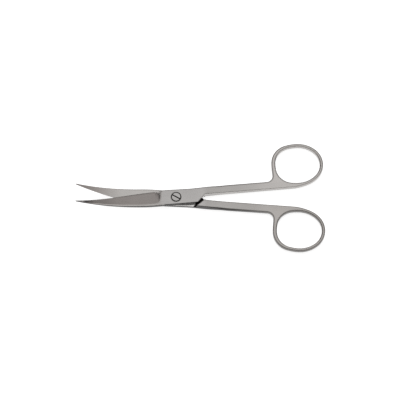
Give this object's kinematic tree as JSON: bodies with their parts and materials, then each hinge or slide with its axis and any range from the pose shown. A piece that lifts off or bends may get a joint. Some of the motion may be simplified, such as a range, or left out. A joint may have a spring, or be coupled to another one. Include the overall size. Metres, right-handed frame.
{
  "type": "dressing scissors",
  "caption": "Curved stainless steel dressing scissors: two forged halves with slender pointed blades, flat shanks and oval finger rings, turning on a slotted pivot screw.",
  "frame": {"origin": "on the pivot screw's axis, in the flat underside of the joint, which the scissors lie on", "axes": "+Z along the pivot screw towards its slotted head, the way the blades curve; +X from the pivot to the finger rings, midway between the two halves; +Y towards the upper half's ring"},
  "size_m": [0.1448, 0.0678, 0.013],
  "materials": {
    "forged_steel": "satin",
    "screw_steel": "turned"
  },
  "bodies": {
    "lower_body": {"lower_half": "forged_steel", "pivot_screw": "screw_steel"},
    "upper_body": {"upper_half": "forged_steel"}
  },
  "joints": [
    {"name": "pivot", "type": "hinge", "parent": "lower_body", "child": "upper_body", "pos_m": [0, 0, 0], "axis": [0, 0, 1], "range_deg": [-9.5, 130]}
  ]
}
